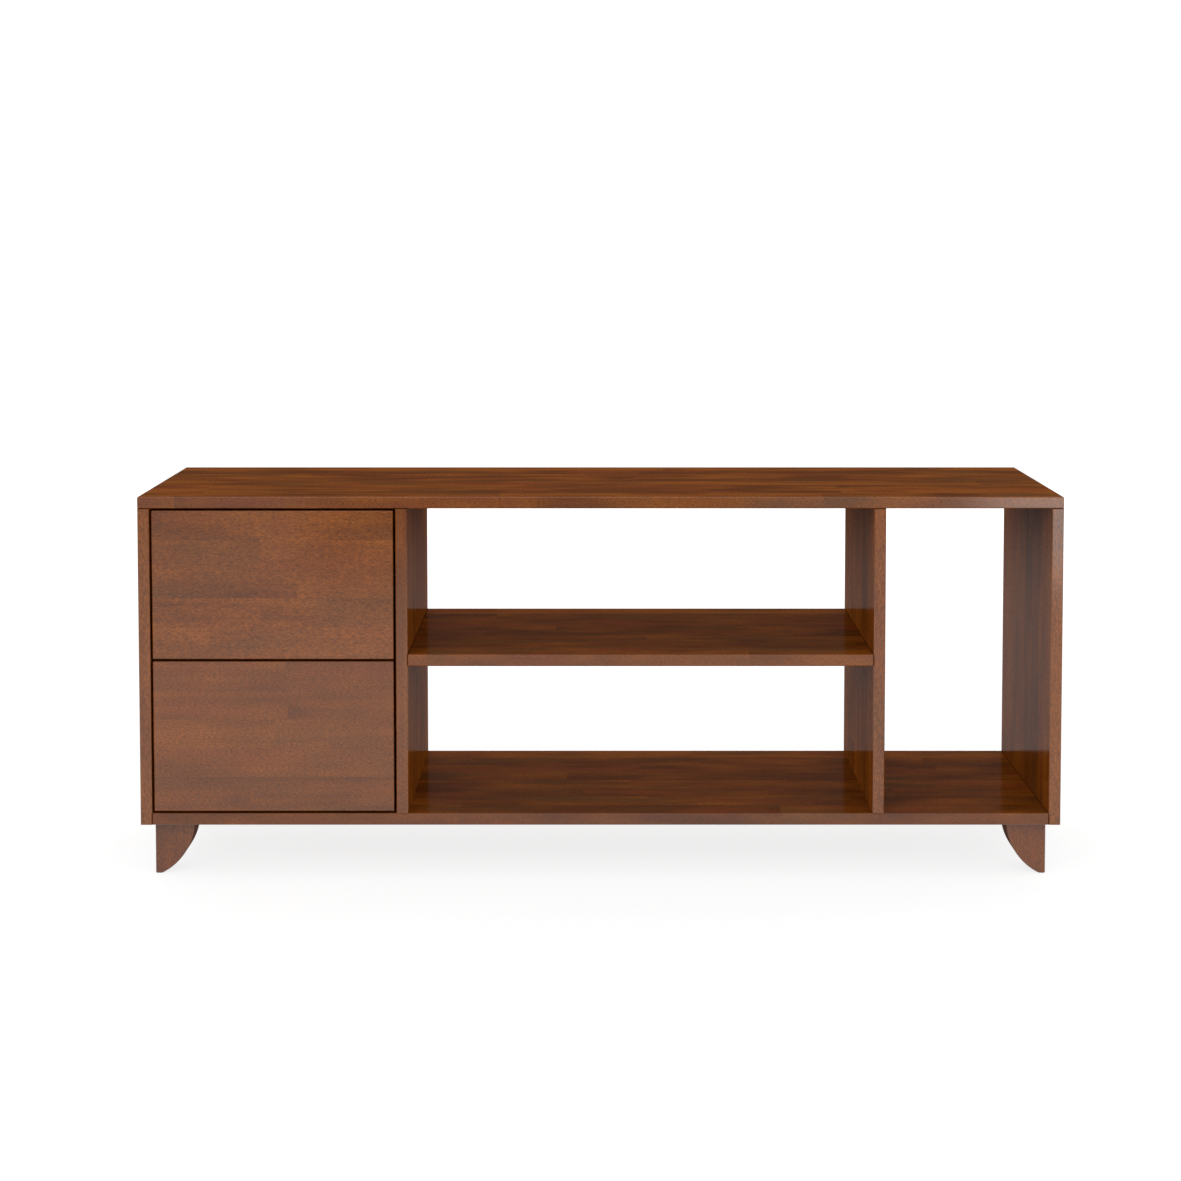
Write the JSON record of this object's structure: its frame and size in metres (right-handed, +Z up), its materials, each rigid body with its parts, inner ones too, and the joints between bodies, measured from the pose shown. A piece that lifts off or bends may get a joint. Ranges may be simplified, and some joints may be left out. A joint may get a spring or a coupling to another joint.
{
  "type": "television cabinet",
  "caption": "Low open-backed television cabinet in stained wood: push-to-open drawers on ball runners beside a shelved bay and a tall open bay, on short curved fin legs.",
  "frame": {"origin": "on the floor under the middle of the cabinet's outline", "axes": "+X to the right seen from the front, +Y to the back, +Z up; the drawers open along -Y"},
  "size_m": [1.2, 0.4, 0.5],
  "materials": {
    "stained_wood": "satin",
    "drawer_wood": "matte",
    "plywood": "matte",
    "tenon_wood": "matte",
    "runner_steel": "satin",
    "screw_steel": "satin",
    "cage_steel": "satin",
    "ejector_plastic": "matte"
  },
  "bodies": {
    "cabinet": {"top_panel": "stained_wood", "bottom_panel": "stained_wood", "left_side_panel": "stained_wood", "right_side_panel": "stained_wood", "left_partition": "stained_wood", "right_partition": "stained_wood", "centre_shelf": "stained_wood", "front_left_leg": "stained_wood", "front_right_leg": "stained_wood", "rear_left_leg": "stained_wood", "rear_right_leg": "stained_wood", "drawer_bay_back_panel": "stained_wood", "top_tenons": "tenon_wood", "bottom_tenons": "tenon_wood", "partition_tenons": "tenon_wood", "shelf_tenons": "tenon_wood", "leg_tenons": "tenon_wood", "cabinet_rail_screws": "screw_steel", "ejector_housings": "ejector_plastic", "lower_left_cabinet_rail": "runner_steel", "lower_right_cabinet_rail": "runner_steel", "upper_left_cabinet_rail": "runner_steel", "upper_right_cabinet_rail": "runner_steel"},
    "lower_drawer": {"lower_drawer_front": "stained_wood", "lower_box_front": "drawer_wood", "lower_box_back": "drawer_wood", "lower_box_bottom": "plywood", "lower_box_left_side": "drawer_wood", "lower_box_right_side": "drawer_wood", "lower_front_screws": "screw_steel", "lower_left_drawer_rail": "runner_steel", "lower_right_drawer_rail": "runner_steel", "lower_drawer_rail_screws": "screw_steel"},
    "lower_middle_rails": {"lower_left_middle_rail": "runner_steel", "lower_right_middle_rail": "runner_steel"},
    "lower_outer_cages": {"lower_outer_ball_cages": "cage_steel"},
    "lower_inner_cages": {"lower_inner_ball_cages": "cage_steel"},
    "lower_ejectors": {"lower_ejector_sliders": "ejector_plastic"},
    "upper_drawer": {"upper_drawer_front": "stained_wood", "upper_box_front": "drawer_wood", "upper_box_back": "drawer_wood", "upper_box_bottom": "plywood", "upper_box_left_side": "drawer_wood", "upper_box_right_side": "drawer_wood", "upper_front_screws": "screw_steel", "upper_left_drawer_rail": "runner_steel", "upper_right_drawer_rail": "runner_steel", "upper_drawer_rail_screws": "screw_steel"},
    "upper_middle_rails": {"upper_left_middle_rail": "runner_steel", "upper_right_middle_rail": "runner_steel"},
    "upper_outer_cages": {"upper_outer_ball_cages": "cage_steel"},
    "upper_inner_cages": {"upper_inner_ball_cages": "cage_steel"},
    "upper_ejectors": {"upper_ejector_sliders": "ejector_plastic"}
  },
  "joints": [
    {"name": "lower_drawer_slide", "type": "slide", "parent": "cabinet", "child": "lower_drawer", "axis": [0, -1, 0], "range_m": [-0.003, 0.3]},
    {"name": "lower_middle_rail_slide", "type": "slide", "parent": "cabinet", "child": "lower_middle_rails", "axis": [0, -1, 0], "range_m": [-0.0015, 0.15]},
    {"name": "lower_outer_cage_slide", "type": "slide", "parent": "cabinet", "child": "lower_outer_cages", "axis": [0, -1, 0], "range_m": [-0.00075, 0.075]},
    {"name": "lower_inner_cage_slide", "type": "slide", "parent": "cabinet", "child": "lower_inner_cages", "axis": [0, -1, 0], "range_m": [-0.00225, 0.225]},
    {"name": "lower_ejector_slide", "type": "slide", "parent": "cabinet", "child": "lower_ejectors", "axis": [0, -1, 0], "range_m": [-0.0003, 0.03]},
    {"name": "upper_drawer_slide", "type": "slide", "parent": "cabinet", "child": "upper_drawer", "axis": [0, -1, 0], "range_m": [-0.003, 0.3]},
    {"name": "upper_middle_rail_slide", "type": "slide", "parent": "cabinet", "child": "upper_middle_rails", "axis": [0, -1, 0], "range_m": [-0.0015, 0.15]},
    {"name": "upper_outer_cage_slide", "type": "slide", "parent": "cabinet", "child": "upper_outer_cages", "axis": [0, -1, 0], "range_m": [-0.00075, 0.075]},
    {"name": "upper_inner_cage_slide", "type": "slide", "parent": "cabinet", "child": "upper_inner_cages", "axis": [0, -1, 0], "range_m": [-0.00225, 0.225]},
    {"name": "upper_ejector_slide", "type": "slide", "parent": "cabinet", "child": "upper_ejectors", "axis": [0, -1, 0], "range_m": [-0.0003, 0.03]}
  ],
  "couplings": [
    {"joint": "lower_middle_rail_slide", "follows": "lower_drawer_slide", "ratio": 0.5},
    {"joint": "lower_outer_cage_slide", "follows": "lower_drawer_slide", "ratio": 0.25},
    {"joint": "lower_inner_cage_slide", "follows": "lower_drawer_slide", "ratio": 0.75},
    {"joint": "lower_ejector_slide", "follows": "lower_drawer_slide", "ratio": 0.1},
    {"joint": "upper_middle_rail_slide", "follows": "upper_drawer_slide", "ratio": 0.5},
    {"joint": "upper_outer_cage_slide", "follows": "upper_drawer_slide", "ratio": 0.25},
    {"joint": "upper_inner_cage_slide", "follows": "upper_drawer_slide", "ratio": 0.75},
    {"joint": "upper_ejector_slide", "follows": "upper_drawer_slide", "ratio": 0.1}
  ]
}
